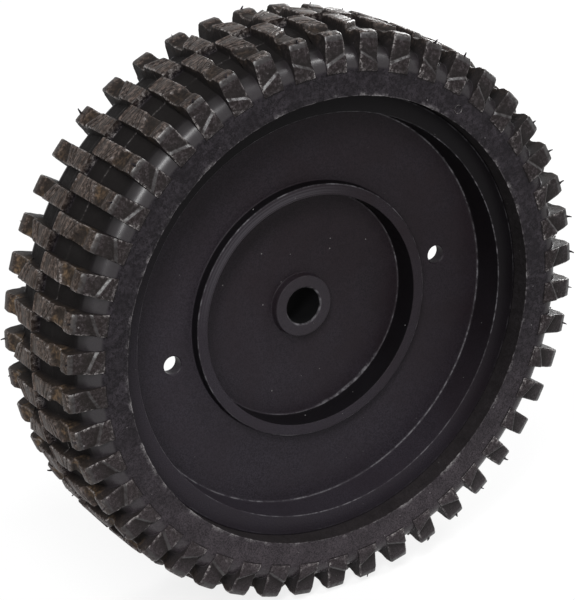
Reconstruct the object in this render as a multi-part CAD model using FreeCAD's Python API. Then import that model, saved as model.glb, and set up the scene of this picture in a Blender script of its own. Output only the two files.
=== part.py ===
import FreeCAD, Part
import math
import os

os.makedirs("parts", exist_ok=True)

# A lawn mower wheel in millimetres: a lugged rubber tyre on a one-piece moulded plastic wheel.
# The axle runs along Y, the dished front face looks towards -Y, Z is up and the centre is the origin.
# Radii are taken from the axle, and depths inwards from the tyre's two flat sidewalls.

# Tyre, from the rim outwards
tyre_width = 51.6
lip_radius = 79.2
lip_depth = 7.1
sidewall_height = 8.2
shoulder_rounding = 7.6
shoulder_facets = 2
groove_depth_at_middle = 3.2

# Tread lugs: pairs of mirrored lugs, the back row half a pitch behind the front row
lug_pairs = 23
first_lug_angle = -11.0
lug_reach = 14.15
lug_top_width = 6.6
lug_foot_width = 7.5
lug_root = 3.0
pad_proud = 0.5
pad_height = 4.3
pad_slant = 1.8
pad_bevel = 1.0
shoulder_face_depth = 0.5
shoulder_face_lean = 0.5
shoulder_bevel_height = 2.2
shoulder_bevel_depth = 0.8
shoulder_drop = 1.0
shoulder_block_length = 6.0
saddle_slope = 1.6
saddle_drop = 2.2
crown_block_start = 12.6
crown_block_slant = 2.2
crown_block_draft = 0.6

# Wheel: rim drum with two flanges, dished web, hub cup and hub tube
ledge_width = 7.1
flange_thickness = 4.0
drum_wall = 4.1
dish_depth = 11.9
web_thickness = 4.6
ring_inner_radius = 41.4
ring_wall = 4.0
ring_rise = 3.6
floor_drop = 5.8
floor_thickness = 4.6
bore_radius = 6.5
bore_chamfer = 0.7
hub_wall = 4.5
boss_rise = 3.1
gusset_count = 4
gusset_thickness = 2.6
gusset_stop_from_hub_end = 6.0
bolt_hole_radius = 3.2
bolt_hole_from_ring = 8.6
bolt_hole_angle = 10.9

# Room between the rubber and the rim where round faces meet
seat_clearance = 0.1

origin = FreeCAD.Vector(0, 0, 0)
axle = FreeCAD.Vector(0, 1, 0)
half_width = tyre_width / 2
lug_pitch = 180 / lug_pairs
foot_radius = lip_radius + sidewall_height
lug_top_radius = foot_radius + lug_reach
groove_radius_at_middle = lug_top_radius - groove_depth_at_middle
flange_radius = lip_radius - seat_clearance
mouth_radius = lip_radius - ledge_width
seat_radius = mouth_radius + drum_wall
ring_outer_radius = ring_inner_radius + ring_wall
hub_radius = bore_radius + hub_wall
bolt_circle_radius = ring_outer_radius + bolt_hole_from_ring

flange_depth = lip_depth + flange_thickness
web_depth = lip_depth + dish_depth
floor_depth = web_depth + floor_drop


def front(depth):
    return depth - half_width


def back(depth):
    return half_width - depth


def at_angle(radius, axial, angle):
    """Point at an angle about the axle, from +X towards +Z."""
    turn = math.radians(angle)
    return FreeCAD.Vector(radius * math.cos(turn), axial, radius * math.sin(turn))


def flat_face(points):
    return Part.Face(Part.makePolygon(points + points[:1]))


def flat_sided_solid(rings):
    """Solid with flat sides between rings of corners, each ring with as many corners as the next."""
    faces = [flat_face(rings[0]), flat_face(rings[-1])]
    for ring, next_ring in zip(rings, rings[1:]):
        for index in range(len(ring)):
            after = (index + 1) % len(ring)
            faces.append(flat_face([ring[index], ring[after], next_ring[after], next_ring[index]]))
    solid = Part.Solid(Part.Shell(faces))
    if solid.Volume < 0:
        solid.reverse()
    return solid


def turned(corners):
    """Solid turned about the axle from (radius, axial) corners of its half section."""
    points = [FreeCAD.Vector(radius, axial, 0) for radius, axial in corners]
    return flat_face(points).revolve(origin, axle, 360)


def to_angle(shape, angle):
    """Copy of a shape that is modelled at the top of the wheel, turned to an angle about the axle."""
    copy = shape.copy()
    copy.rotate(origin, axle, 90 - angle)
    return copy


def carcass_half():
    """Front half of the tyre under the lugs: one flat for each groove, rounded over at the shoulder."""
    levels = []
    for facet in range(shoulder_facets + 1):
        turn = math.pi / 2 * facet / shoulder_facets
        levels.append((foot_radius + shoulder_rounding * math.sin(turn),
                       front(shoulder_rounding * (1 - math.cos(turn)))))
    levels.append((groove_radius_at_middle, 0))
    corner_share = 1 / math.cos(math.radians(lug_pitch / 2))
    rings = []
    for radius, axial in levels:
        angles = [first_lug_angle + lug * lug_pitch for lug in range(2 * lug_pairs)]
        rings.append([at_angle(radius * corner_share, axial, angle) for angle in angles])
    return flat_sided_solid(rings)


def front_lug(hand):
    """One lug of the front row, at the top of the wheel; hand is +1 or -1 for the two mirrored forms."""
    wide = lug_foot_width
    pad_front = front(-pad_proud)
    pad_top = foot_radius + pad_height
    shoulder_radius = lug_top_radius - shoulder_drop
    saddle_radius = lug_top_radius - saddle_drop
    root_at_edge = foot_radius + shoulder_rounding - lug_root
    root_at_middle = groove_radius_at_middle - lug_root
    face_top_depth = shoulder_face_depth + shoulder_face_lean

    def pad_ring(axial, grow):
        slant = hand * pad_slant * wide / (lug_foot_width / 2)
        return [FreeCAD.Vector(-wide, axial, foot_radius - grow),
                FreeCAD.Vector(wide, axial, foot_radius - grow),
                FreeCAD.Vector(wide, axial, pad_top + slant + grow),
                FreeCAD.Vector(-wide, axial, pad_top - slant + grow)]

    def crown_ring(radius, start):
        slant = hand * crown_block_slant * wide / (lug_top_width / 2)
        return [FreeCAD.Vector(-wide, front(start + slant), radius),
                FreeCAD.Vector(wide, front(start - slant), radius),
                FreeCAD.Vector(wide, 0, radius),
                FreeCAD.Vector(-wide, 0, radius)]

    side = [
        (shoulder_face_depth, foot_radius + pad_bevel),
        (face_top_depth, shoulder_radius - shoulder_bevel_height),
        (face_top_depth + shoulder_bevel_depth, shoulder_radius),
        (shoulder_block_length, shoulder_radius),
        (shoulder_block_length + saddle_slope, saddle_radius),
        (half_width, saddle_radius),
        (half_width, root_at_middle),
        (shoulder_rounding, root_at_edge),
    ]
    bar = flat_sided_solid([[FreeCAD.Vector(x, front(depth), radius) for depth, radius in side]
                            for x in (-wide, wide)])
    pad = flat_sided_solid([pad_ring(pad_front, 0),
                            pad_ring(front(shoulder_face_depth + pad_bevel), pad_bevel)])
    crown = flat_sided_solid([crown_ring(root_at_middle, crown_block_start - crown_block_draft),
                              crown_ring(lug_top_radius, crown_block_start)])

    taper = (lug_foot_width - lug_top_width) / 2 / lug_reach
    below = lug_foot_width / 2 + taper * lug_root
    above = lug_top_width / 2
    flanks = flat_sided_solid([[FreeCAD.Vector(-below, axial, foot_radius - lug_root),
                                FreeCAD.Vector(below, axial, foot_radius - lug_root),
                                FreeCAD.Vector(above, axial, lug_top_radius),
                                FreeCAD.Vector(-above, axial, lug_top_radius)]
                               for axial in (pad_front, 0)])
    return bar.multiFuse([pad, crown]).common(flanks).removeSplitter()


def tyre():
    front_half = carcass_half()
    pieces = [to_angle(front_half.mirror(origin, axle), 90 + lug_pitch / 2)]
    for hand, offset in ((-1, 0), (1, 1)):
        lug = front_lug(hand)
        back_lug = lug.mirror(origin, axle)
        for pair in range(lug_pairs):
            angle = first_lug_angle + (2 * pair + offset) * lug_pitch
            pieces.append(to_angle(lug, angle))
            pieces.append(to_angle(back_lug, angle + lug_pitch / 2))
    bead_radius = seat_radius + seat_clearance
    seat = turned([(0, front(-pad_proud)), (lip_radius, front(-pad_proud)),
                   (lip_radius, front(flange_depth)), (bead_radius, front(flange_depth)),
                   (bead_radius, back(flange_depth)), (lip_radius, back(flange_depth)),
                   (lip_radius, back(-pad_proud)), (0, back(-pad_proud))])
    return front_half.multiFuse(pieces).cut(seat).removeSplitter()


def wheel_section():
    """Half section of the moulded wheel, outwards along the front and back along the rear."""
    web_front = front(web_depth)
    web_rear = front(web_depth + web_thickness)
    ring_front = front(web_depth - ring_rise)
    floor_front = front(floor_depth)
    floor_rear = front(floor_depth + floor_thickness)
    boss_front = front(floor_depth - boss_rise)
    hub_rear = back(0)
    return [
        (bore_radius, boss_front + bore_chamfer),
        (bore_radius + bore_chamfer, boss_front),
        (hub_radius, boss_front),
        (hub_radius, floor_front),
        (ring_inner_radius, floor_front),
        (ring_inner_radius, ring_front),
        (ring_outer_radius, ring_front),
        (ring_outer_radius, web_front),
        (mouth_radius, web_front),
        (mouth_radius, front(lip_depth)),
        (flange_radius, front(lip_depth)),
        (flange_radius, front(flange_depth)),
        (seat_radius, front(flange_depth)),
        (seat_radius, back(flange_depth)),
        (flange_radius, back(flange_depth)),
        (flange_radius, back(lip_depth)),
        (mouth_radius, back(lip_depth)),
        (mouth_radius, web_rear),
        (ring_outer_radius, web_rear),
        (ring_outer_radius, floor_rear),
        (hub_radius, floor_rear),
        (hub_radius, hub_rear),
        (bore_radius, hub_rear),
    ]


def hub_gusset():
    """One gusset behind the hub cup, from the hub tube down to the cup's outer edge."""
    floor_middle = front(floor_depth + floor_thickness / 2)
    inside = bore_radius + hub_wall / 2
    outline = [(inside, floor_middle), (ring_inner_radius, floor_middle),
               (inside, back(gusset_stop_from_hub_end))]
    return flat_sided_solid([[FreeCAD.Vector(x, axial, radius) for radius, axial in outline]
                             for x in (-gusset_thickness / 2, gusset_thickness / 2)])


def wheel():
    gusset = hub_gusset()
    gusset_pitch = 360 / gusset_count
    gussets = [to_angle(gusset, bolt_hole_angle + (index + 0.5) * gusset_pitch)
               for index in range(gusset_count)]
    bolt_holes = [Part.makeCylinder(bolt_hole_radius, tyre_width,
                                    at_angle(bolt_circle_radius, -half_width, angle), axle)
                  for angle in (bolt_hole_angle, bolt_hole_angle + 180)]
    return turned(wheel_section()).multiFuse(gussets).cut(bolt_holes).removeSplitter()


for node, shape in (("tyre", tyre()), ("wheel_body", wheel())):
    shape.exportStep("parts/" + node + ".step")
    box = shape.BoundBox
    print(node, "valid", shape.isValid(), "solids", len(shape.Solids), "faces", len(shape.Faces),
          "volume cm3 %.1f" % (shape.Volume / 1000),
          "size %.1f %.1f %.1f" % (box.XLength, box.YLength, box.ZLength))
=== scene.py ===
import bpy
import bmesh
import math
import numpy as np
from mathutils import Matrix, Vector


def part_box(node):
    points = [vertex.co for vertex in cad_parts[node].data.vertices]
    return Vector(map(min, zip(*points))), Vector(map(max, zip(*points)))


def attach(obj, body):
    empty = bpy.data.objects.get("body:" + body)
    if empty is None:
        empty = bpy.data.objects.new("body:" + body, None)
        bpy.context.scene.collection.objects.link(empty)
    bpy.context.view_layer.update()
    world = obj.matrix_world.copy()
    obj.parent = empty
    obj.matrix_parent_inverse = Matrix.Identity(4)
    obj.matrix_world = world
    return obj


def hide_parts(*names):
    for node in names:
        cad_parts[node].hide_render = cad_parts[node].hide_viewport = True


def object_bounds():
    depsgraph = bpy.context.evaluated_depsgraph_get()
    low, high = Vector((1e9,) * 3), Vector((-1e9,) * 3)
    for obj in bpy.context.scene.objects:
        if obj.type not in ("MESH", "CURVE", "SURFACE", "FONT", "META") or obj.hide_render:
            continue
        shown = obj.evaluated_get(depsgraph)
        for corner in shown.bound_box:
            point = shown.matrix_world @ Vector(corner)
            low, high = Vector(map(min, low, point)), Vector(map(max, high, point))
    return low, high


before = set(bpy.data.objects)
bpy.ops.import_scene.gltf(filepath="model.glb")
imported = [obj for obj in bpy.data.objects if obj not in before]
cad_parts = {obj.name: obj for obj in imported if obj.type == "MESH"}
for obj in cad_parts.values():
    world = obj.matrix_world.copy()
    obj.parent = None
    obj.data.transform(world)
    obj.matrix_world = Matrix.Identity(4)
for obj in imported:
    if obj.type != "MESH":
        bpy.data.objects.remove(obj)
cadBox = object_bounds()
mm = 0.001
print("frame loaded, CAD box", [round(v, 4) for corner in cadBox for v in corner])


# small helpers for meshes and node trees
def addObject(name, data):
    piece = bpy.data.objects.new(name, data)
    bpy.context.scene.collection.objects.link(piece)
    return piece


def meshFrom(name, points, faces):
    mesh = bpy.data.meshes.new(name)
    mesh.from_pydata([tuple(p) for p in points], [], faces)
    mesh.update()
    return mesh


def ringFaces(rings, count, closed=False):
    faces = []
    for ring in range(rings if closed else rings - 1):
        first, second = ring * count, (ring + 1) % rings * count
        for index in range(count):
            after = (index + 1) % count
            faces.append((first + index, first + after, second + after, second + index))
    return faces


def addMarks(mesh, name, values):
    mesh.attributes.new(name, "FLOAT", "POINT").data.foreach_set("value", values)


def tidyMesh(mesh, sharpAngle=40):
    mergeDistance = 0.002 * mm
    work = bmesh.new()
    work.from_mesh(mesh)
    bmesh.ops.remove_doubles(work, verts=work.verts, dist=mergeDistance)
    bmesh.ops.dissolve_degenerate(work, edges=work.edges, dist=mergeDistance)
    bmesh.ops.recalc_face_normals(work, faces=work.faces)
    work.to_mesh(mesh)
    work.free()
    mesh.shade_smooth()
    mesh.set_sharp_from_angle(angle=math.radians(sharpAngle))
    mesh.update()


def bakeModifiers(piece):
    graph = bpy.context.evaluated_depsgraph_get()
    mesh = bpy.data.meshes.new_from_object(piece.evaluated_get(graph), preserve_all_data_layers=True,
                                           depsgraph=graph)
    piece.modifiers.clear()
    piece.data = mesh
    return mesh


def growWith(piece, tree, values):
    modifier = piece.modifiers.new(tree.name, "NODES")
    modifier.node_group = tree
    for item in tree.interface.items_tree:
        if item.item_type == "SOCKET" and item.in_out == "INPUT" and item.name in values:
            modifier[item.identifier] = values[item.name]
    return bakeModifiers(piece)


def newTree(name, kind, inputs, outputs):
    tree = bpy.data.node_groups.new(name, kind)
    for sockets, direction in ((inputs, "INPUT"), (outputs, "OUTPUT")):
        for label, socketType in sockets:
            tree.interface.new_socket(label, in_out=direction, socket_type="NodeSocket" + socketType)
    return tree, tree.nodes.new("NodeGroupInput"), tree.nodes.new("NodeGroupOutput")


def link(tree, output, target):
    tree.links.new(output, target)


def feed(tree, value, socket):
    if isinstance(value, bpy.types.NodeSocket):
        link(tree, value, socket)
    else:
        socket.default_value = value


def addNode(tree, kind, settings=None, values=None):
    node = tree.nodes.new(kind)
    for key, value in (settings or {}).items():
        setattr(node, key, value)
    for key, value in (values or {}).items():
        feed(tree, value, node.inputs[key])
    return node


def mathNode(tree, operation, *values, clamp=False):
    settings = {"operation": operation, "use_clamp": clamp}
    return addNode(tree, "ShaderNodeMath", settings, dict(enumerate(values))).outputs[0]


def vectorNode(tree, operation, values):
    return addNode(tree, "ShaderNodeVectorMath", {"operation": operation}, values)


def vectorFrom(tree, *parts):
    return addNode(tree, "ShaderNodeCombineXYZ", values=dict(enumerate(parts))).outputs[0]


def noiseNode(tree, vector, scale, detail, roughness, dimensions="3D"):
    node = addNode(tree, "ShaderNodeTexNoise", {"noise_dimensions": dimensions},
                   {"Vector": vector, "Scale": scale, "Detail": detail, "Roughness": roughness})
    return node.outputs["Fac"]


def mapRange(tree, value, low, high, toLow=0.0, toHigh=1.0, smooth=True):
    node = addNode(tree, "ShaderNodeMapRange", {"interpolation_type": "SMOOTHSTEP" if smooth else "LINEAR"},
                   {"Value": value, "From Min": low, "From Max": high, "To Min": toLow, "To Max": toHigh})
    return node.outputs["Result"]


# points for copies round the axle, and the turn from one to the next
def pointsAround(tree, count):
    line = addNode(tree, "GeometryNodeMeshLine", values={"Count": count, "Offset": (0.0, 0.0, 0.0)})
    index = addNode(tree, "GeometryNodeInputIndex").outputs[0]
    return line.outputs["Mesh"], index, mathNode(tree, "DIVIDE", 2 * math.pi, count)


def turnAbout(tree, vector):
    return addNode(tree, "FunctionNodeEulerToRotation", values={0: vector}).outputs[0]


def realCopies(tree, instances):
    return addNode(tree, "GeometryNodeRealizeInstances", values={"Geometry": instances}).outputs["Geometry"]


def endTree(tree, geometry, start, end):
    finish = addNode(tree, "GeometryNodeSetMaterial",
                     values={"Geometry": geometry, "Material": start.outputs["Material"]})
    link(tree, finish.outputs["Geometry"], end.inputs[0])
    return tree


# shader groups shared by the rubber and the plastic
def buildGrainGroup():
    tree, start, end = newTree("mouldGrain", "ShaderNodeTree",
                               [("Vector", "Vector"), ("Fine Scale", "Float"), ("Broad Scale", "Float")],
                               [("Fine", "Float"), ("Broad", "Float")])
    for key, detail, roughness in (("Fine", 3.0, 0.6), ("Broad", 4.0, 0.55)):
        noise = noiseNode(tree, start.outputs["Vector"], start.outputs[key + " Scale"], detail, roughness)
        link(tree, noise, end.inputs[key])
    return tree


def buildFleckGroup():
    tree, start, end = newTree("dustFlecks", "ShaderNodeTree",
                               [("Vector", "Vector"), ("Scale", "Float"), ("Size", "Float"),
                                ("Share", "Float")],
                               [("Mask", "Float")])
    cells = addNode(tree, "ShaderNodeTexVoronoi", {"feature": "F1"},
                    {"Vector": start.outputs["Vector"], "Scale": start.outputs["Scale"], "Randomness": 1.0})
    tint = addNode(tree, "ShaderNodeSeparateColor", values={"Color": cells.outputs["Color"]})
    chosen = mathNode(tree, "LESS_THAN", tint.outputs["Red"], start.outputs["Share"])
    spread = mathNode(tree, "ADD", tint.outputs["Green"], 0.35)
    reach = mathNode(tree, "MULTIPLY", start.outputs["Size"], spread)
    near = mathNode(tree, "LESS_THAN", cells.outputs["Distance"], reach)
    link(tree, mathNode(tree, "MULTIPLY", chosen, near), end.inputs["Mask"])
    return tree


grainGroup = buildGrainGroup()
fleckGroup = buildFleckGroup()


def useGroup(tree, group, vector, values):
    return addNode(tree, "ShaderNodeGroup", {"node_tree": group}, {"Vector": vector, **values}).outputs


def newMaterial(name):
    material = bpy.data.materials.new(name)
    material.use_nodes = True
    tree = material.node_tree
    return material, tree, tree.nodes["Principled BSDF"]


def bumpNode(tree, height, distance, strength, after=None):
    node = addNode(tree, "ShaderNodeBump",
                   values={"Strength": strength, "Distance": distance, "Height": height})
    if after is not None:
        link(tree, after, node.inputs["Normal"])
    return node.outputs["Normal"]


# short words for the masks of one material
def maskTools(tree):
    def remap(*values):
        return mapRange(tree, *values)

    def chain(operation, values, clamp):
        total = values[0]
        for index, value in enumerate(values[1:], 2):
            total = mathNode(tree, operation, total, value, clamp=clamp and index == len(values))
        return total

    def times(*values, clamp=False):
        return chain("MULTIPLY", values, clamp)

    def most(*values, clamp=False):
        return chain("MAXIMUM", values, clamp)

    def blend(factor, first, second):
        first, second = ((*value, 1.0) if isinstance(value, tuple) else value for value in (first, second))
        node = addNode(tree, "ShaderNodeMix", {"data_type": "RGBA"}, {0: factor, 6: first, 7: second})
        return node.outputs[2]

    return remap, times, most, blend


def placeOnWheel(tree):
    place = addNode(tree, "ShaderNodeTexCoord").outputs["Object"]
    x, y, z = addNode(tree, "ShaderNodeSeparateXYZ", values={0: place}).outputs
    flat = vectorNode(tree, "MULTIPLY", {0: place, 1: (1.0, 0.0, 1.0)}).outputs[0]
    radius = vectorNode(tree, "LENGTH", {0: flat}).outputs["Value"]
    return place, x, y, z, radius


# tyre rubber
rubberLook = {
    "colour": (0.0056, 0.0047, 0.0058),
    "speckleColour": (0.0250, 0.0214, 0.0255),
    "lugColour": (0.0122, 0.0092, 0.0083),
    "scuffColour": (0.104, 0.080, 0.069),
    "faceScuffColour": (0.056, 0.047, 0.048),
    "dustColour": (0.105, 0.070, 0.042),
    "wornGlintColour": (0.215, 0.198, 0.193),
    "lowLightColour": (0.0440, 0.0367, 0.0412),
    "shoulderSheenColour": (0.0145, 0.0122, 0.0138),
    "bevelSheenColour": (0.0160, 0.0140, 0.0145),
    "flashColour": (0.150, 0.142, 0.144),
    "shadeColour": (0.0070, 0.0061, 0.0059),
    "fineScale": 2300.0,
    "broadScale": 760.0,
    "patchScale": 150.0,
    "lineTurns": 14.0,       # lines on the crowns: how often they break, and how close they lie
    "lineCloseness": 1150.0,
    "specks": {"Scale": 260.0, "Size": 0.09, "Share": 0.4},
    "speckStrength": 0.6,
    "lineDepth": 0.45,
    "lugRelief": 0.4,
    "grainRelief": 0.09,
    "specular": 0.08,
    "bevelGloss": 0.65,
    "shoulderGloss": 0.5,
    "edgeGloss": 1.0,
    "glossRoughness": 0.33,
    "dustSide": 186.0,       # degrees round the axle where most brown dust sits
    "dustSpread": 78.0,
    "lipRadius": 79.2,
}


def makeRubber():
    look = rubberLook
    material, tree, shader = newMaterial("tyreRubber")
    remap, times, most, blend = maskTools(tree)
    place, x, y, z, radius = placeOnWheel(tree)
    grain = useGroup(tree, grainGroup, place,
                     {"Fine Scale": look["fineScale"], "Broad Scale": look["broadScale"]})
    fine, broad = grain["Fine"], grain["Broad"]
    specks = useGroup(tree, fleckGroup, place, look["specks"])["Mask"]
    wide = noiseNode(tree, place, look["patchScale"], 3.0, 0.6)
    angle = mathNode(tree, "ARCTAN2", times(z, -1.0), times(x, -1.0))
    turned = mathNode(tree, "SUBTRACT", angle, math.radians(look["dustSide"] - 180.0))
    dustSide = remap(mathNode(tree, "ABSOLUTE", turned), math.radians(look["dustSpread"]), 0.15)
    crown, saddle, edge, lug, groove, crease, face, shoulder, lip, bevel = (
        addNode(tree, "ShaderNodeAttribute", {"attribute_name": name}).outputs["Fac"] for name in
        ("crown", "saddle", "edge", "lug", "groove", "crease", "face", "shoulder", "lip", "bevel"))

    # lines round the tread on the crowns, closer together than the lugs are wide
    across = vectorFrom(tree, times(angle, look["lineTurns"]), times(y, look["lineCloseness"]), radius)
    streaks = noiseNode(tree, across, 1.0, 2.0, 0.7)

    # bare rubber, speckled, with a painted sheen on the shoulders
    mottle = mathNode(tree, "ADD", remap(fine, 0.41, 0.62, 0.0, 0.5), remap(broad, 0.42, 0.61, 0.0, 0.5))
    mottle = times(mottle, remap(wide, 0.3, 0.7, 0.4, 1.1), clamp=True)
    base = blend(mottle, look["colour"], look["speckleColour"])
    base = blend(shoulder, base, look["shoulderSheenColour"])

    # scuffed lugs, along the lines on their crowns
    scuff = times(remap(broad, 0.44, 0.61, 0.06, 1.0), remap(wide, 0.3, 0.65, 0.5, 1.0),
                  remap(fine, 0.40, 0.62, 0.12, 1.0), remap(crown, 0.0, 1.0, 1.0, 0.8))
    lineScuff = times(remap(streaks, 0.44, 0.62, 0.0, 0.85), remap(broad, 0.40, 0.58, 0.2, 1.0), crown)
    lugTone = blend(most(scuff, lineScuff), look["lugColour"],
                    blend(face, look["scuffColour"], look["faceScuffColour"]))
    base = blend(times(lug, remap(face, 0.0, 1.0, 1.0, 0.6)), base, lugTone)

    # painted light low down, light specks, and a painted sheen on the bevels
    paintedLowLight = times(remap(z, 0.0, -0.085), remap(wide, 0.2, 0.8, 0.5, 1.0), remap(fine, 0.39, 0.60, 0.3, 1.0),
                 remap(lug, 0.0, 1.0, 1.0, 0.75))
    base = blend(paintedLowLight, base, look["lowLightColour"])
    base = blend(times(specks, look["speckStrength"]), base, look["flashColour"])
    # a painted sheen along the bevels
    bevelSheen = times(remap(bevel, 0.35, 0.9), remap(broad, 0.34, 0.60, 0.3, 1.0))
    base = blend(bevelSheen, base, look["bevelSheenColour"])

    # shade in the creases and grooves and on the lip's wall
    lipWall = remap(radius, (look["lipRadius"] + 0.15) * mm, look["lipRadius"] * mm)
    dark = most(times(crease, 0.75), times(groove, 0.95), times(lipWall, 0.68))
    base = blend(dark, base, look["shadeColour"])

    # pale flash and smears along the lip
    flash = times(remap(lip, 0.25, 0.8), remap(broad, 0.42, 0.62, 0.05, 1.0),
                  remap(wide, 0.48, 0.64, 0.2, 1.0))
    smear = times(remap(radius, (look["lipRadius"] + 1.6) * mm, (look["lipRadius"] + 0.3) * mm),
                  remap(wide, 0.52, 0.65), remap(fine, 0.36, 0.62, 0.15, 0.65),
                  mathNode(tree, "SUBTRACT", 1.0, lipWall))
    base = blend(most(flash, smear), base, look["flashColour"])

    # brown dust in the saddles, and a faint haze of it on the lugs
    dust = times(saddle, remap(dustSide, 0.0, 1.0, 0.10, 1.0), remap(wide, 0.38, 0.63),
                 remap(broad, 0.35, 0.68, 0.15, 1.0))
    haze = times(lug, dustSide, remap(fine, 0.35, 0.65, 0.02, 0.11), remap(face, 0.0, 1.0, 1.0, 0.2))
    dust = most(dust, haze, clamp=True)
    base = blend(dust, base, look["dustColour"])

    # worn edges, pale partly from wear and partly as painted glints
    wornGlint = times(remap(edge, 0.35, 0.9), remap(wide, 0.45, 0.62, 0.07, 1.0),
                 remap(broad, 0.42, 0.60, 0.06, 1.0), remap(fine, 0.42, 0.58, 0.2, 1.0), clamp=True)
    base = blend(wornGlint, base, look["wornGlintColour"])
    link(tree, base, shader.inputs["Base Color"])

    smooth = most(bevelSheen, shoulder, remap(edge, 0.4, 0.9))
    rough = mathNode(tree, "ADD", remap(broad, 0.3, 0.7, 0.34, 0.48), times(most(dust, dark), 0.4))
    rough = mathNode(tree, "SUBTRACT", rough, times(smooth, 0.14), clamp=True)
    link(tree, rough, shader.inputs["Roughness"])
    shader.inputs["Specular IOR Level"].default_value = look["specular"]

    # a thin gloss on the bevels, the clean side of the shoulders and the worn edges with their painted glints
    cleanSide = remap(mathNode(tree, "SUBTRACT", z, x), -0.06, 0.10, 0.3, 1.0)
    gloss = most(times(bevelSheen, look["bevelGloss"]), times(shoulder, cleanSide, look["shoulderGloss"]),
                 times(wornGlint, look["edgeGloss"]))
    gloss = times(gloss, mathNode(tree, "SUBTRACT", 1.0, dark), clamp=True)
    link(tree, gloss, shader.inputs["Coat Weight"])
    shader.inputs["Coat Roughness"].default_value = look["glossRoughness"]

    normal = bumpNode(tree, times(streaks, crown), look["lineDepth"] * mm, 0.8)
    lugHeight = times(broad, remap(lug, 0.0, 1.0, 0.2, 1.0))
    normal = bumpNode(tree, lugHeight, look["lugRelief"] * mm, 0.6, normal)
    normal = bumpNode(tree, fine, look["grainRelief"] * mm, 0.5, normal)
    link(tree, normal, shader.inputs["Normal"])
    return material


rubber = makeRubber()
print("rubber made")


# tyre: one stretch of tread, two lugs long, set round the axle
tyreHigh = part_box("tyre")[1]
tyreSizes = {                # millimetres, depths counted inwards from the sidewall
    "halfWidth": 25.8,
    "lugPairs": 23,
    "firstLugAngle": -11.0,
    "lip": 79.2,
    "bead": 76.3,
    "flangeDepth": 11.1,
    "foot": 87.4,
    "shoulderRounding": 7.6,
    "top": tyreHigh.x / mm - 0.02,
    "grooveAtMiddle": 98.4,
    "stepDepth": 17.2,
    "stepHeight": 0.35,
    "lugTopWidth": 6.6,
    "lugFootWidth": 7.5,
    "padSlant": 1.8,
    "crownSlant": 2.2,
    "partingRidge": 0.25,
    "footGap": 0.04,         # between a flank's last line and its foot
    "footLift": 0.22,
    "unevenness": 0.34,
    "unevenScale": 480.0,    # per metre, as the flash's
    "unevenMiddle": 0.76,    # noise above this stands out, below it sinks in
    "lipFlash": 0.5,
    "flashScale": 260.0,
    "seamMerge": 0.004,
}

# a lug's outline from the pad to the parting line: below the top, depth, rounding, pad slant, crown slant
lugCorners = [
    (14.15, 0.00, 0.15, 0.0, 0.0),
    (14.00, -0.50, 0.25, 0.0, 0.0),
    (9.90, -0.50, 0.25, 1.0, 0.0),
    (8.95, 0.50, 0.30, 1.0, 0.0),
    (3.50, 1.00, 0.50, 0.0, 0.0),
    (1.25, 1.80, 0.60, 0.0, 0.0),
    (1.00, 5.90, 0.70, 0.0, 0.0),
    (2.20, 7.40, 0.80, 0.0, 0.0),
    (2.15, 12.30, 0.40, 0.0, 1.0),
    (0.25, 13.00, 0.35, 0.0, 1.0),
    (0.20, 14.90, 0.20, 0.0, 1.0),
    (0.55, 15.30, 0.15, 0.0, 1.0),
    (0.12, 15.70, 0.20, 0.0, 1.0),
    (0.10, 17.20, 0.20, 0.0, 0.8),
    (0.45, 17.55, 0.15, 0.0, 0.8),
    (0.08, 17.95, 0.20, 0.0, 0.8),
    (0.04, 23.30, 0.25, 0.0, 0.0),
    (0.26, 23.80, 0.25, 0.0, 0.0),
    (0.26, 25.25, 0.15, 0.0, 0.0),
    (0.00, 25.48, 0.10, 0.0, 0.0),
]
lugLines = [(0.0, 0.0), (0.5, 0.0), (0.86, 0.0), (1.0, 0.34), (1.0, 0.85)]   # share of the half width, sunk
grooveLineShares = (0.04, 0.09, 0.14, 0.52, 1.0)


def softened(corners):
    rows = []
    for index, corner in enumerate(corners):
        here = np.array(corner[:2])
        if index in (0, len(corners) - 1):
            rows.append(corner)
            continue
        for other in (corners[index - 1], corners[index + 1]):
            way = np.array(other[:2]) - here
            place = here + way / np.linalg.norm(way) * corner[2]
            rows.append((*place, corner[2], corner[3], corner[4]))
    return rows


def treadRows():
    size = tyreSizes
    lug = [(size["top"] - below, depth, pad, crown)
           for below, depth, rounding, pad, crown in softened(lugCorners)]
    lug.append((size["top"], size["halfWidth"], 0.0, 0.0))
    shoulderRows = 14
    carcass = []
    for index in range(len(lug)):
        if index <= shoulderRows:
            turn = math.pi / 2 * index / shoulderRows
            carcass.append((size["foot"] + size["shoulderRounding"] * math.sin(turn),
                            size["shoulderRounding"] * (1 - math.cos(turn))))
        else:
            share = (index - shoulderRows) / (len(lug) - 1 - shoulderRows)
            depth = size["shoulderRounding"] + share * (size["halfWidth"] - size["shoulderRounding"])
            carcass.append((0.0, depth))
    nearStep = min(range(len(carcass)), key=lambda i: abs(carcass[i][1] - size["stepDepth"]))
    carcass[nearStep] = (0.0, size["stepDepth"] - 0.2)
    carcass[nearStep + 1] = (0.0, size["stepDepth"] + 0.2)
    crest = size["foot"] + size["shoulderRounding"]
    for index in range(shoulderRows + 1, len(carcass)):
        depth = carcass[index][1]
        share = (depth - size["shoulderRounding"]) / (size["halfWidth"] - size["shoulderRounding"])
        step = size["stepHeight"] if depth > size["stepDepth"] else 0.0
        rise = size["grooveAtMiddle"] - size["stepHeight"] - crest
        carcass[index] = (crest + rise * math.sin(share * math.pi / 2) ** 0.9 + step, depth)
    carcass[-1] = (carcass[-1][0] + size["partingRidge"], carcass[-1][1])
    lip = size["lip"]
    side = [(size["bead"], size["flangeDepth"]), (lip, size["flangeDepth"]), (lip, 0.55), (lip + 0.12, 0.1),
            (lip + 0.6, 0.0), (lip + 4.2, 0.0), (size["foot"] - 0.5, 0.0)]
    return side, lug, carcass, nearStep


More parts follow.
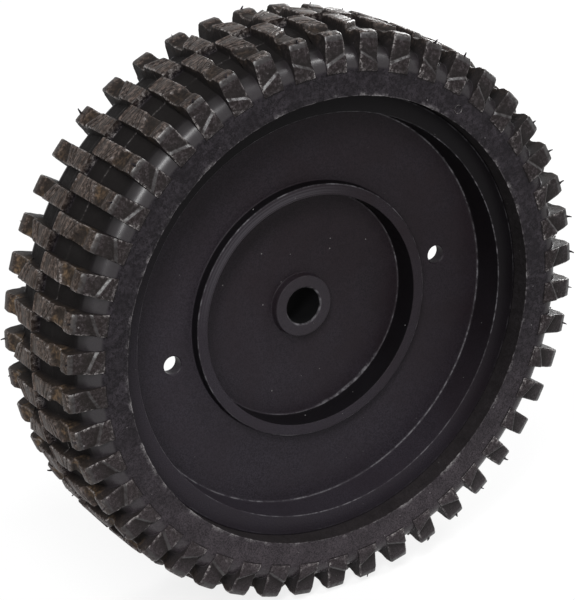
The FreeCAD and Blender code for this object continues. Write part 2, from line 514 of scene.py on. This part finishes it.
def heightsAbove(lug, carcass):
    shares = np.linspace(0, len(carcass) - 1, 40 * len(carcass))
    ground = np.stack([np.interp(shares, range(len(carcass)), [row[part] for row in carcass])
                       for part in (0, 1)], axis=1)
    tops = np.array([row[:2] for row in lug])
    return np.linalg.norm(tops[:, None] - ground[None], axis=2).min(axis=1)


def outwardNormals(rows):
    points = np.array([row[:2] for row in rows])
    along = np.gradient(points, axis=0)
    along /= np.linalg.norm(along, axis=1)[:, None]
    return np.stack([along[:, 1], -along[:, 0]], axis=1)


def makeTreadStretch():
    size = tyreSizes
    side, lug, carcass, stepRow = treadRows()
    heights = heightsAbove(lug, carcass)
    lugOut, carcassOut = outwardNormals(lug), outwardNormals(carcass)
    lugOut[-3:] = (1.0, 0.0)             # the rim at the parting line sinks straight down
    pitch = math.pi / size["lugPairs"]
    taper = (size["lugFootWidth"] - size["lugTopWidth"]) / 2 / (size["top"] - size["foot"])
    footLine = len(lugLines)
    edgeLine = footLine - 2
    linesAcross = 4 * footLine
    half = linesAcross // 2
    lastRow = len(lug) - 1

    def halfWidthAt(radius):
        return size["lugTopWidth"] / 2 + taper * (size["top"] - radius)

    def lineOffset(line, radius):
        foot = (halfWidthAt(radius) + size["footGap"]) / radius
        if line < footLine:
            return lugLines[line][0] * halfWidthAt(radius) / radius
        if line == footLine:
            return foot
        return foot + (pitch / 2 - foot) * grooveLineShares[line - footLine - 1]

    def rowPoints(line, hand, way):
        points = [(radius, depth, lineOffset(line, size["foot"])) for radius, depth in side]
        for index in range(len(lug)):
            radius, depth, pad, crown = lug[index]
            if line >= footLine:
                lift = size["footLift"] if line == footLine else 0.0
                radius = carcass[index][0] + lift * carcassOut[index][0]
                depth = carcass[index][1] + (lift * carcassOut[index][1] if index < lastRow else 0.0)
            else:
                share, sunk = way * lugLines[line][0], lugLines[line][1]
                sink = min(sunk, heights[index] * (0.3 if line == edgeLine else 0.55))
                radius -= pad * hand * size["padSlant"] * share + sink * lugOut[index][0]
                depth += crown * hand * size["crownSlant"] * share - sink * lugOut[index][1]
                depth = min(depth, size["halfWidth"])
            points.append((radius, depth, lineOffset(line, radius)))
        return points

    # where the rows of a lug are worn with painted glints, creased with painted shade, dusty, lined or
    # bevelled with a painted sheen
    wornGlintRows = {1: 0.75, 2: 0.6, 9: 0.6, 10: 0.6, 17: 0.7, 18: 0.7, 20: 0.7, 23: 0.7, 26: 0.7, 29: 0.7}
    bevelRows = {4, 5, 8, 9}
    creaseRows = {0, 6, 13, 14, 15, 16, 21, 22, 27, 28}
    saddleRows = range(12, 17)
    crownFrom = 17

    def marks(line, row):
        onLug = line < footLine and row >= 1
        wornGlint = wornGlintRows.get(row, 0.0) if onLug else 0.0
        if line == edgeLine and row >= 2:
            wornGlint = 1.0
        if line == edgeLine - 1 and row >= 2:
            wornGlint = max(wornGlint, 0.58)
        if row == lastRow:
            wornGlint = 0.9
        elif not onLug and row == stepRow + 1:
            wornGlint = 0.66
        shade = 0.0 if onLug else min(max((row - 7) / 7, 0.0), 1.0)
        if line in (edgeLine + 1, footLine) and row >= 2:
            shade = max(shade, 0.7)
        return {"tread": 1.0 if row >= 8 else 0.0,
                "lug": 1.0 if onLug else 0.0,
                "crown": 1.0 if onLug and row >= crownFrom else 0.0,
                "saddle": 1.0 if onLug and row in saddleRows else 0.0,
                "edge": wornGlint,
                "crease": 1.0 if row in creaseRows and line < (footLine if row == 0 else edgeLine) else 0.0,
                "face": 1.0 if onLug and row <= 8 else 0.0,
                "bevel": 1.0 if onLug and row in bevelRows and line <= edgeLine else 0.0,
                "shoulder": 1.0 if line > footLine and 2 <= row <= 11 else 0.0,
                "groove": shade if 1 <= row < lastRow else 0.0,
                "lip": 1.0 if row == 3 - len(side) else 0.0}

    points, masks = [], {}
    columns = 2 * linesAcross + 1
    for column in range(columns):
        step, lugIndex = column % linesAcross, column // linesAcross
        front = (step, 1, lugIndex) if step <= half else (linesAcross - step, -1, lugIndex + 1)
        back = (abs(half - step), -1 if step < half else 1, lugIndex)
        for line, way, number, offset, facing in ((*front, 0.0, -1), (*back, 0.5, 1)):
            hand = -1 if number % 2 == 0 else 1
            centre = math.radians(size["firstLugAngle"]) + (number + offset) * pitch
            rows = rowPoints(line, hand, way)
            order = range(len(rows)) if facing < 0 else range(len(rows) - 1, -1, -1)
            for index in order:
                radius, depth, shift = rows[index]
                angle = centre + way * shift
                axial = facing * (size["halfWidth"] - depth)
                points.append((radius * math.cos(angle) * mm, axial * mm, radius * math.sin(angle) * mm))
                for name, value in marks(line, index - len(side)).items():
                    masks.setdefault(name, []).append(value)
    mesh = meshFrom("treadStretch", points, ringFaces(columns, len(points) // columns))
    for name, values in masks.items():
        addMarks(mesh, name, values)
    return mesh


def makeRingTree():
    size = tyreSizes
    tree, start, end = newTree("treadRing", "GeometryNodeTree",
                               [("Stretch", "Geometry"), ("Count", "Int"), ("Unevenness", "Float"),
                                ("Lip Flash", "Float"), ("Material", "Material")],
                               [("Tyre", "Geometry")])
    points, index, step = pointsAround(tree, start.outputs["Count"])
    turn = turnAbout(tree, vectorFrom(tree, 0.0, mathNode(tree, "MULTIPLY", index, step), 0.0))
    copies = addNode(tree, "GeometryNodeInstanceOnPoints",
                     values={"Points": points, "Instance": start.outputs["Stretch"], "Rotation": turn})
    real = realCopies(tree, copies.outputs["Instances"])
    joined = addNode(tree, "GeometryNodeMergeByDistance",
                     values={"Geometry": real, "Distance": size["seamMerge"] * mm})

    # moulded rubber is never quite even, and a thin flash stands along the lip
    def marked(name):
        return addNode(tree, "GeometryNodeInputNamedAttribute", {"data_type": "FLOAT"},
                       {"Name": name}).outputs["Attribute"]

    place = addNode(tree, "GeometryNodeInputPosition").outputs[0]
    wave = noiseNode(tree, place, size["unevenScale"], 4.0, 0.7)
    wave = mathNode(tree, "SUBTRACT", wave, size["unevenMiddle"])
    wave = mathNode(tree, "MULTIPLY", wave, start.outputs["Unevenness"])
    wave = mathNode(tree, "MULTIPLY", wave, marked("tread"))
    normal = addNode(tree, "GeometryNodeInputNormal").outputs[0]
    push = vectorNode(tree, "SCALE", {0: normal, "Scale": wave}).outputs[0]
    flash = mapRange(tree, noiseNode(tree, place, size["flashScale"], 5.0, 0.7), 0.42, 0.78, 0.0, 1.0, False)
    flash = mathNode(tree, "MULTIPLY", flash, start.outputs["Lip Flash"])
    flash = mathNode(tree, "MULTIPLY", flash, marked("lip"))
    inward = vectorNode(tree, "MULTIPLY", {0: place, 1: (-1.0, 0.0, -1.0)}).outputs[0]
    inward = vectorNode(tree, "NORMALIZE", {0: inward}).outputs[0]
    flashPush = vectorNode(tree, "SCALE", {0: inward, "Scale": flash}).outputs[0]
    total = vectorNode(tree, "ADD", {0: push, 1: flashPush}).outputs[0]
    moved = addNode(tree, "GeometryNodeSetPosition",
                    values={"Geometry": joined.outputs["Geometry"], "Offset": total})
    return endTree(tree, moved.outputs["Geometry"], start, end)


def makeTyre():
    size = tyreSizes
    piece = addObject("tyreVisual", makeTreadStretch())
    mesh = growWith(piece, makeRingTree(), {"Count": size["lugPairs"], "Unevenness": size["unevenness"] * mm,
                                            "Lip Flash": size["lipFlash"] * mm, "Material": rubber})
    tidyMesh(mesh, sharpAngle=42)
    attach(piece, "root")
    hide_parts("tyre")
    print("tyre", len(mesh.polygons), "faces")


makeTyre()


# vent whiskers on the shoulder corners of the lugs
whiskerSizes = {
    "length": 1.6,
    "footRadius": 0.42,
    "tipRadius": 0.2,
    "bend": 0.5,
    "share": 0.5,
    "seed": 11,
    "fromTop": 1.5,
    "depth": 2.0,
    "sunk": 0.3,
    "lean": (0.5, 0.3, 3.1),     # most, in radians
    "scales": (0.45, 1.25),
    "rings": 5,
    "sides": 6,
}


def makeWhisker():
    size = whiskerSizes
    rings, sides = size["rings"], size["sides"]
    points = []
    for ring in range(rings):
        share = ring / (rings - 1)
        radius = size["footRadius"] + (size["tipRadius"] - size["footRadius"]) * share
        for side in range(sides):
            turn = 2 * math.pi * side / sides
            points.append(((radius * math.cos(turn) + size["bend"] * share ** 2) * mm,
                           radius * math.sin(turn) * mm, (share * size["length"] - size["sunk"]) * mm))
    ends = [tuple(range(sides - 1, -1, -1)), tuple((rings - 1) * sides + side for side in range(sides))]
    return meshFrom("whisker", points, ringFaces(rings, sides) + ends)


def makeWhiskerTree():
    tree, start, end = newTree("ventWhiskers", "GeometryNodeTree",
                               [("Whisker", "Geometry"), ("Count", "Int"), ("Radius", "Float"),
                                ("Half Span", "Float"), ("First Angle", "Float"), ("Share", "Float"),
                                ("Seed", "Int"), ("Material", "Material")],
                               [("Whiskers", "Geometry")])
    lean = whiskerSizes["lean"]
    rows = addNode(tree, "GeometryNodeJoinGeometry")
    for facing, offset, seedShift in ((-1.0, 0.0, 0.0), (1.0, 0.5, 40.0)):
        points, index, step = pointsAround(tree, start.outputs["Count"])
        seed = mathNode(tree, "ADD", start.outputs["Seed"], seedShift)
        angle = mathNode(tree, "MULTIPLY", mathNode(tree, "ADD", index, offset), step)
        angle = mathNode(tree, "ADD", start.outputs["First Angle"], angle)
        spot = vectorFrom(tree, *(mathNode(tree, "MULTIPLY", *pair) for pair in (
            (mathNode(tree, "COSINE", angle), start.outputs["Radius"]), (start.outputs["Half Span"], facing),
            (mathNode(tree, "SINE", angle), start.outputs["Radius"]))))
        placed = addNode(tree, "GeometryNodeSetPosition", values={"Geometry": points, "Position": spot})
        chosen = addNode(tree, "FunctionNodeRandomValue", {"data_type": "BOOLEAN"},
                         {"Probability": start.outputs["Share"], "Seed": seed})
        tip = addNode(tree, "FunctionNodeRandomValue", {"data_type": "FLOAT_VECTOR"},
                      {0: tuple(-most for most in lean), 1: lean, "Seed": seed})
        longer = addNode(tree, "FunctionNodeRandomValue", {"data_type": "FLOAT"},
                         {2: whiskerSizes["scales"][0], 3: whiskerSizes["scales"][1], "Seed": seed})
        upright = vectorFrom(tree, 0.0, mathNode(tree, "SUBTRACT", math.pi / 2, angle), 0.0)
        turn = addNode(tree, "FunctionNodeRotateRotation", {"rotation_space": "LOCAL"},
                       {0: turnAbout(tree, upright), 1: turnAbout(tree, tip.outputs[0])})
        copies = addNode(tree, "GeometryNodeInstanceOnPoints",
                         values={"Points": placed.outputs["Geometry"], "Selection": chosen.outputs[3],
                                 "Instance": start.outputs["Whisker"], "Rotation": turn.outputs[0],
                                 "Scale": longer.outputs[1]})
        link(tree, copies.outputs["Instances"], rows.inputs[0])
    return endTree(tree, realCopies(tree, rows.outputs[0]), start, end)


def makeWhiskers():
    size = whiskerSizes
    piece = addObject("ventWhiskers", makeWhisker())
    mesh = growWith(piece, makeWhiskerTree(), {
        "Count": 2 * tyreSizes["lugPairs"],
        "Radius": (tyreSizes["top"] - size["fromTop"]) * mm,
        "Half Span": (tyreSizes["halfWidth"] - size["depth"]) * mm,
        "First Angle": math.radians(tyreSizes["firstLugAngle"]),
        "Share": size["share"],
        "Seed": size["seed"],
        "Material": rubber})
    mesh.shade_smooth()
    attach(piece, "root")
    print("whiskers", len(mesh.polygons), "faces")


makeWhiskers()


# a round pin mark that the mould left on the front sidewall
pinMarkSizes = {             # millimetres, angle in degrees round the axle
    "radius": 83.4,
    "angle": 55.4,
    "outer": 1.75,
    "inner": 1.15,
    "rise": 0.3,
    "sunk": 0.2,
    "sides": 32,
}


def makePinMark():
    size = pinMarkSizes
    front = -tyreSizes["halfWidth"]
    middle = (size["outer"] + size["inner"]) / 2
    section = [(size["outer"], front + size["sunk"]), (size["outer"], front), (middle, front - size["rise"]),
               (size["inner"], front), (size["inner"], front + size["sunk"])]
    turn = math.radians(size["angle"])
    centre = (size["radius"] * math.cos(turn), size["radius"] * math.sin(turn))
    sides = size["sides"]
    points = []
    for side in range(sides):
        way = 2 * math.pi * side / sides
        points += [((centre[0] + away * math.cos(way)) * mm, axial * mm,
                    (centre[1] + away * math.sin(way)) * mm) for away, axial in section]
    mesh = meshFrom("pinMark", points, ringFaces(sides, len(section), closed=True))
    # the crest takes worn-edge paint with painted glints, the foot takes painted shade
    addMarks(mesh, "edge", (0.0, 0.0, 0.8, 0.0, 0.0) * sides)
    addMarks(mesh, "crease", (1.0, 1.0, 0.0, 1.0, 1.0) * sides)
    piece = addObject("pinMark", mesh)
    tidyMesh(mesh)
    mesh.materials.append(rubber)
    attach(piece, "root")
    print("pin mark", len(mesh.polygons), "faces")


makePinMark()


# wheel: turned section with rounded corners, hub gussets and bolt holes
wheelLow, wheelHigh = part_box("wheel_body")
wheelSizes = {               # millimetres; y places are those of the solid wheel
    "bore": 6.5,
    "boreChamfer": 0.7,
    "hub": 11.0,
    "bossFront": -4.1,
    "floorFront": -1.0,
    "floorRear": 3.6,
    "cup": 41.4,
    "ring": 45.4,
    "ringFront": -10.4,
    "webFront": -6.8,
    "webRear": -2.2,
    "mouth": 72.1,
    "drumDraft": 0.6,
    "ledge": wheelLow.y / mm,
    "flange": wheelHigh.x / mm,
    "flangeThickness": 4.0,
    "seat": 76.2,
    "hubRear": wheelHigh.y / mm,
    "segments": 240,
    "gussets": 4,
    "gussetThickness": 2.6,
    "gussetStop": 19.8,
    "boltCircle": 54.0,
    "boltHoles": 2,
    "boltHole": 3.2,
    "holeSides": 40,
    "boltAngle": 10.9,
    "holeRounding": 0.35,
}


plasticLook = {
    "highShadedColour": (0.0132, 0.0098, 0.0120),
    "lowLitColour": (0.0238, 0.0205, 0.0262),
    "paleHighlightColour": (0.0380, 0.0350, 0.0400),
    "shadeAndGrainColour": (0.0014, 0.0014, 0.0016),
    "fleckColour": (0.150, 0.145, 0.145),
    "wornGlintColour": (0.085, 0.082, 0.088),
    "fineScale": 2300.0,
    "broadScale": 60.0,
    "breakScale": 330.0,     # where the worn edges and their painted highlights break off
    "ringCloseness": 1400.0,
    "flecks": {"Scale": 260.0, "Size": 0.05, "Share": 0.26},
    "ringDepth": 0.05,
    "grainRelief": 0.035,
    "specular": 0.07,
    "ringHighlightSide": 125.0,     # degrees round the axle where the hub ring's painted highlight is strongest
    "cupHighlightSide": -58.0,     # and the painted highlight streak on the cup floor's edge
    "litDrumSide": 250.0,       # where the drum's painted shade is lightest, its lit side
}


def makePlastic():
    look, w = plasticLook, wheelSizes
    material, tree, shader = newMaterial("wheelPlastic")
    remap, times, most, blend = maskTools(tree)
    place, side, axial, height, radius = placeOnWheel(tree)
    grain = useGroup(tree, grainGroup, place,
                     {"Fine Scale": look["fineScale"], "Broad Scale": look["broadScale"]})
    fine, broad = grain["Fine"], grain["Broad"]
    fleck = useGroup(tree, fleckGroup, place, look["flecks"])["Mask"]
    ringPlace = vectorFrom(tree, times(radius, look["ringCloseness"]), times(axial, 300.0), 0.0)
    rings = noiseNode(tree, ringPlace, 1.0, 3.0, 0.65, "2D")
    breaks = noiseNode(tree, place, look["breakScale"], 4.0, 0.7)

    def within(limit, soft, inside, share=1.0):
        return remap(radius, (limit + soft) * mm, (limit + inside) * mm, 0.0, share)

    def nearWall(wall, reach):
        off = mathNode(tree, "ABSOLUTE", mathNode(tree, "SUBTRACT", radius, wall * mm))
        return remap(off, reach * mm, 0.6 * reach * mm)

    def nearEdge(edgeRadius, edgeAxial, reach):
        across = mathNode(tree, "SUBTRACT", radius, edgeRadius * mm)
        along = mathNode(tree, "SUBTRACT", axial, edgeAxial * mm)
        off = mathNode(tree, "SQRT", mathNode(tree, "ADD", times(across, across), times(along, along)))
        return remap(off, reach * mm, 0.4 * reach * mm)

    def onFront(front):
        return remap(axial, (front + 0.8) * mm, (front + 0.3) * mm)

    def towards(angle):
        turn = math.radians(angle)
        return mathNode(tree, "ADD", times(side, math.cos(turn)), times(height, math.sin(turn)))

    # painted shade in the bore, on the upright walls and in the drum, less of it on the drum's lit side
    inner = w["mouth"] - w["drumDraft"]
    drum = times(within(inner, -0.6, 0.1, 0.8), remap(towards(look["litDrumSide"]), -0.05, 0.05, 1.0, 0.05))
    bore = within(w["bore"], 0.5, 0.1)
    walls = most(nearWall(w["cup"] - 0.2, 0.36), nearWall(w["ring"] + 0.15, 0.3))
    paintedShade = most(drum, bore, times(walls, 0.8))

    # painted light low down and to the left, less of it in the cup
    lowSide = mathNode(tree, "ADD", height, times(side, 0.6))
    paintedLowLight = mathNode(tree, "ADD", remap(lowSide, 0.05, -0.06, 0.05, 0.75), remap(broad, 0.3, 0.7, -0.12, 0.22),
                    clamp=True)
    paintedLowLight = mathNode(tree, "SUBTRACT", paintedLowLight, within(w["cup"], 1.0, -1.0, 0.2), clamp=True)
    base = blend(paintedLowLight, look["highShadedColour"], look["lowLitColour"])
    grainShade = times(remap(fine, 0.36, 0.62, 0.55, 0.0), remap(broad, 0.3, 0.7, 0.6, 1.0))
    base = blend(grainShade, base, look["shadeAndGrainColour"])

    # a painted highlight on the hub ring, strongest on one side, and on the boss's front
    ringHighlight = times(nearWall((w["cup"] + w["ring"]) / 2, 3.2), onFront(w["ringFront"]),
                   remap(rings, 0.42, 0.60, 0.1, 1.0),
                   remap(towards(look["ringHighlightSide"]), 0.022, 0.042, 0.0, 0.8))
    boss = times(within(w["hub"], 0.3, -0.3, 0.25), onFront(w["bossFront"]))
    base = blend(most(ringHighlight, boss), base, look["paleHighlightColour"])
    base = blend(paintedShade, base, look["shadeAndGrainColour"])

    # worn edges, partly painted highlight lines: radius, axial place, reach, strength
    edges = [(w["mouth"] - 0.1, w["ledge"] + 0.1, 0.42, 1.0),
             (w["mouth"] - 0.1, -w["ledge"] - 0.1, 0.42, 1.0),
             (inner - 0.26, w["webFront"] - 0.26, 0.36, 1.0),
             (w["cup"] - 0.62, w["floorFront"] - 0.24, 0.3, 1.0),
             (w["ring"] - 0.1, w["ringFront"] + 0.1, 0.34, 1.0),
             (w["flange"] - 0.6, w["ledge"], 0.26, 0.3),
             (w["bore"] + w["boreChamfer"] / 2, w["bossFront"] + w["boreChamfer"] / 2, 0.55, 1.0)]
    wornGlint = most(*(times(nearEdge(*spot), strength) for *spot, strength in edges))
    wornGlint = times(wornGlint, remap(breaks, 0.40, 0.64, 0.08, 1.0), remap(broad, 0.40, 0.58, 0.25, 1.0))
    # a painted highlight streak on one side of the cup floor's edge
    cupHighlight = times(nearEdge(w["cup"] - 0.9, w["floorFront"] - 0.1, 0.8),
                   remap(towards(look["cupHighlightSide"]), 0.0365, 0.040), remap(breaks, 0.40, 0.60))
    base = blend(most(wornGlint, cupHighlight), base, look["wornGlintColour"])
    base = blend(fleck, base, look["fleckColour"])
    link(tree, base, shader.inputs["Base Color"])

    rough = mathNode(tree, "ADD", remap(broad, 0.3, 0.7, 0.36, 0.46), times(most(fleck, bore), 0.4),
                     clamp=True)
    link(tree, rough, shader.inputs["Roughness"])
    shader.inputs["Specular IOR Level"].default_value = look["specular"]
    normal = bumpNode(tree, rings, look["ringDepth"] * mm, 0.3)
    normal = bumpNode(tree, fine, look["grainRelief"] * mm, 0.5, normal)
    link(tree, normal, shader.inputs["Normal"])
    return material


plastic = makePlastic()
print("plastic made")


def roundedSection(corners, steps=4):
    points = []
    count = len(corners)
    for index, (radius, axial, rounding) in enumerate(corners):
        here = Vector((radius, axial))
        before = Vector(corners[index - 1][:2]) - here
        after = Vector(corners[(index + 1) % count][:2]) - here
        if rounding == 0:
            points.append(here)
            continue
        first = here + before.normalized() * rounding
        last = here + after.normalized() * rounding
        for step in range(steps + 1):
            t = step / steps
            points.append(first * (1 - t) ** 2 + here * 2 * t * (1 - t) + last * t ** 2)
    return points


def wheelCorners():
    w = wheelSizes
    inner = w["mouth"] - w["drumDraft"]
    flangeInner = w["ledge"] + w["flangeThickness"]
    rearLedge = -w["ledge"]
    return [
        (w["bore"], w["bossFront"] + w["boreChamfer"], 0.2),
        (w["bore"] + w["boreChamfer"], w["bossFront"], 0.2),
        (w["hub"], w["bossFront"], 0.5), (w["hub"] + 0.2, w["floorFront"], 0.5),
        (w["cup"] - 0.4, w["floorFront"], 0.9), (w["cup"], w["ringFront"], 0.45),
        (w["ring"], w["ringFront"], 0.55), (w["ring"] + 0.3, w["webFront"], 0.7),
        (inner, w["webFront"], 1.0), (w["mouth"], w["ledge"], 0.45),
        (w["flange"], w["ledge"], 0.3), (w["flange"], flangeInner, 0.0),
        (w["seat"], flangeInner, 0.0), (w["seat"], -flangeInner, 0.0),
        (w["flange"], -flangeInner, 0.0), (w["flange"], rearLedge, 0.3),
        (w["mouth"], rearLedge, 0.5), (inner, w["webRear"], 1.2),
        (w["ring"] + 0.3, w["webRear"], 0.8), (w["ring"], w["floorRear"], 0.7),
        (w["hub"] + 0.2, w["floorRear"], 0.8), (w["hub"], w["hubRear"], 0.5),
        (w["bore"], w["hubRear"], 0.4),
    ]


def turnedMesh(name, section, segments):
    points = []
    for segment in range(segments):
        turn = 2 * math.pi * segment / segments
        points += [(p.x * math.cos(turn) * mm, p.y * mm, p.x * math.sin(turn) * mm) for p in section]
    mesh = meshFrom(name, points, ringFaces(segments, len(section), closed=True))
    tidyMesh(mesh)
    return mesh


def makeGusset():
    w = wheelSizes
    middle = (w["floorFront"] + w["floorRear"]) / 2
    inside = (w["bore"] + w["hub"]) / 2
    outline = [(inside, middle), (w["cup"], middle), (inside, w["gussetStop"])]
    halfThick = w["gussetThickness"] / 2
    points = [(x * mm, axial * mm, radius * mm) for x in (-halfThick, halfThick) for radius, axial in outline]
    return meshFrom("gusset", points, [(0, 2, 1), (3, 4, 5), (0, 1, 4, 3), (1, 2, 5, 4), (2, 0, 3, 5)])


def makeBoltCutter():
    w = wheelSizes
    flare = w["boltHole"] + w["holeRounding"] + 0.4
    places = [(flare, w["webFront"] - 0.4), (w["boltHole"], w["webFront"] + w["holeRounding"]),
              (w["boltHole"], w["webRear"] - w["holeRounding"]), (flare, w["webRear"] + 0.4)]
    sides = w["holeSides"]
    points = []
    for radius, axial in places:
        for side in range(sides):
            turn = 2 * math.pi * side / sides
            points.append((radius * math.cos(turn) * mm, axial * mm,
                           (w["boltCircle"] + radius * math.sin(turn)) * mm))
    ends = [tuple(range(sides)), tuple(range(len(points) - 1, len(points) - 1 - sides, -1))]
    return meshFrom("boltCutter", points, ringFaces(len(places), sides) + ends)


def makeRoundTree():
    tree, start, end = newTree("roundTheAxle", "GeometryNodeTree",
                               [("Piece", "Geometry"), ("Count", "Int"), ("First Angle", "Float"),
                                ("Material", "Material")],
                               [("Pieces", "Geometry")])
    points, index, step = pointsAround(tree, start.outputs["Count"])
    angle = mathNode(tree, "ADD", mathNode(tree, "MULTIPLY", index, step), start.outputs["First Angle"])
    turn = turnAbout(tree, vectorFrom(tree, 0.0, mathNode(tree, "SUBTRACT", math.pi / 2, angle), 0.0))
    copies = addNode(tree, "GeometryNodeInstanceOnPoints",
                     values={"Points": points, "Instance": start.outputs["Piece"], "Rotation": turn})
    return endTree(tree, realCopies(tree, copies.outputs["Instances"]), start, end)


def makeWheel():
    w = wheelSizes
    piece = addObject("wheelVisual", turnedMesh("wheelVisual", roundedSection(wheelCorners()), w["segments"]))
    piece.data.materials.append(plastic)
    roundTree = makeRoundTree()
    gussetAngle = w["boltAngle"] + 180 / w["gussets"]
    for name, shape, count, firstAngle, operation in (
            ("gussets", makeGusset(), w["gussets"], gussetAngle, "UNION"),
            ("boltCutters", makeBoltCutter(), w["boltHoles"], w["boltAngle"], "DIFFERENCE")):
        tool = addObject(name, shape)
        tidyMesh(growWith(tool, roundTree, {"Count": count, "First Angle": math.radians(firstAngle),
                                            "Material": plastic}))
        cut = piece.modifiers.new(name, "BOOLEAN")
        cut.operation = operation
        cut.solver = "EXACT"
        cut.object = tool
        bakeModifiers(piece)
        bpy.data.objects.remove(tool)
    mesh = piece.data
    tidyMesh(mesh, sharpAngle=35)
    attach(piece, "root")
    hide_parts("wheel_body")
    print("wheel", len(mesh.polygons), "faces")


makeWheel()


# stage: pale floor, white surroundings, soft lamps, the photograph's viewing angle
stageLook = {
    "floorColour": (0.86, 0.86, 0.86),
    "floorRoughness": 0.9,
    "floorGlow": 0.82,
    "worldStrength": 0.3,
    "floorSize": 30.0,
}
lamps = [                    # name, place in metres from the wheel's centre, long way, length, breadth, watts
    ("keyLamp", (-0.66, -0.78, 0.82), (-0.54, -0.05, -0.47), 0.90, 0.26, 19.0),
    ("topLamp", (0.60, -0.46, 1.10), (1.0, 0.0, -0.5), 0.40, 0.30, 8.0),
    ("backLamp", (1.1, 0.85, 0.5), (0.0, 0.0, 1.0), 0.60, 0.50, 20.0),
]
cameraView = {
    "place": (-0.3714, -0.6112, 0.2662),
    "forward": (0.48286, 0.80369, -0.34777),
    "lens": 132.0,
    "sensor": 36.0,
}


def seenDirectly(tree):
    path = addNode(tree, "ShaderNodeLightPath")
    seen = mathNode(tree, "MAXIMUM", path.outputs["Is Camera Ray"], path.outputs["Is Glossy Ray"])
    return mathNode(tree, "MAXIMUM", seen, path.outputs["Is Transmission Ray"])


def makeFloor():
    material, tree, shader = newMaterial("paleFloor")
    shader.inputs["Base Color"].default_value = (*stageLook["floorColour"], 1.0)
    shader.inputs["Roughness"].default_value = stageLook["floorRoughness"]
    shader.inputs["Specular IOR Level"].default_value = 0.0
    glow = addNode(tree, "ShaderNodeEmission", values={"Color": (1.0, 1.0, 1.0, 1.0), "Strength": 1.0})
    glowShare = mathNode(tree, "MULTIPLY", seenDirectly(tree), stageLook["floorGlow"])
    mix = addNode(tree, "ShaderNodeMixShader",
                  values={0: glowShare, 1: shader.outputs[0], 2: glow.outputs[0]})
    link(tree, mix.outputs[0], tree.nodes["Material Output"].inputs["Surface"])
    half = stageLook["floorSize"] / 2
    level = cadBox[0].z
    corners = [(-half, -half, level), (half, -half, level), (half, half, level), (-half, half, level)]
    floor = addObject("floor", meshFrom("floor", corners, [(0, 1, 2, 3)]))
    floor.data.materials.append(material)


def makeWorld():
    world = bpy.data.worlds.new("paleRoom")
    bpy.context.scene.world = world
    world.use_nodes = True
    tree = world.node_tree
    back = tree.nodes["Background"]
    back.inputs["Color"].default_value = (1.0, 1.0, 1.0, 1.0)
    strength = mapRange(tree, seenDirectly(tree), 0.0, 1.0, stageLook["worldStrength"], 1.0, False)
    link(tree, strength, back.inputs["Strength"])


def makeLamps():
    for name, place, longWay, length, breadth, watts in lamps:
        data = bpy.data.lights.new(name, "AREA")
        data.shape = "RECTANGLE"
        data.size, data.size_y = length, breadth
        data.energy = watts
        lamp = addObject(name, data)
        back = Vector(place).normalized()
        across = back.cross(Vector(longWay)).normalized()
        turn = Matrix((across.cross(back), across, back)).transposed()
        lamp.matrix_world = Matrix.Translation(place) @ turn.to_4x4()


def makeCamera():
    data = bpy.data.cameras.new("camera")
    data.lens = cameraView["lens"]
    data.sensor_width = cameraView["sensor"]
    camera = addObject("camera", data)
    camera.location = cameraView["place"]
    camera.rotation_euler = Vector(cameraView["forward"]).to_track_quat("-Z", "Y").to_euler()
    bpy.context.scene.camera = camera


makeFloor()
makeWorld()
makeLamps()
makeCamera()
bpy.context.scene.view_settings.view_transform = "Standard"
print("stage set")

bpy.context.view_layer.update()
